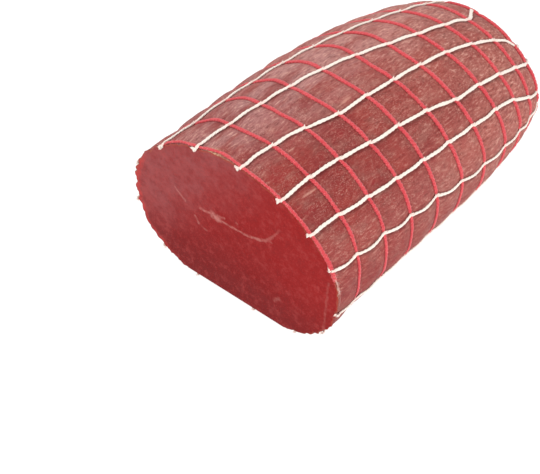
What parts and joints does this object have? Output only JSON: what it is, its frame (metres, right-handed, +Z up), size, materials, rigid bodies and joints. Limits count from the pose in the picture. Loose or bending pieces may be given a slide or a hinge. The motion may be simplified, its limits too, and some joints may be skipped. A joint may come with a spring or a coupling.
{
  "type": "air-dried beef joint in a string net",
  "caption": "Cut half of an air-dried beef joint with a flat lean face, a blunt rounded far end and a tied net of white lengthwise strings and red hoops.",
  "frame": {"origin": "middle of the footprint, on the surface it rests on", "axes": "+Z up; the joint runs along Y with its cut face towards -Y; X across"},
  "size_m": [0.133, 0.2058, 0.0968],
  "materials": {
    "dried_meat": "dry matte cured meat, with a smoother moist cut face",
    "white_string": "twisted off-white cotton",
    "red_elastic": "red covered elastic thread"
  },
  "bodies": {
    "root": {"meat": "dried_meat", "string_01": "white_string", "string_02": "white_string", "string_03": "white_string", "string_04": "white_string", "string_05": "white_string", "string_06": "white_string", "string_07": "white_string", "string_08": "white_string", "string_09": "white_string", "string_10": "white_string", "string_11": "white_string", "string_12": "white_string", "string_13": "white_string", "string_14": "white_string", "end_knot": "white_string", "hoop_01": "red_elastic", "hoop_02": "red_elastic", "hoop_03": "red_elastic", "hoop_04": "red_elastic", "hoop_05": "red_elastic", "hoop_06": "red_elastic", "hoop_07": "red_elastic", "hoop_08": "red_elastic", "hoop_09": "red_elastic", "hoop_10": "red_elastic", "hoop_11": "red_elastic", "hoop_12": "red_elastic"}
  },
  "joints": []
}
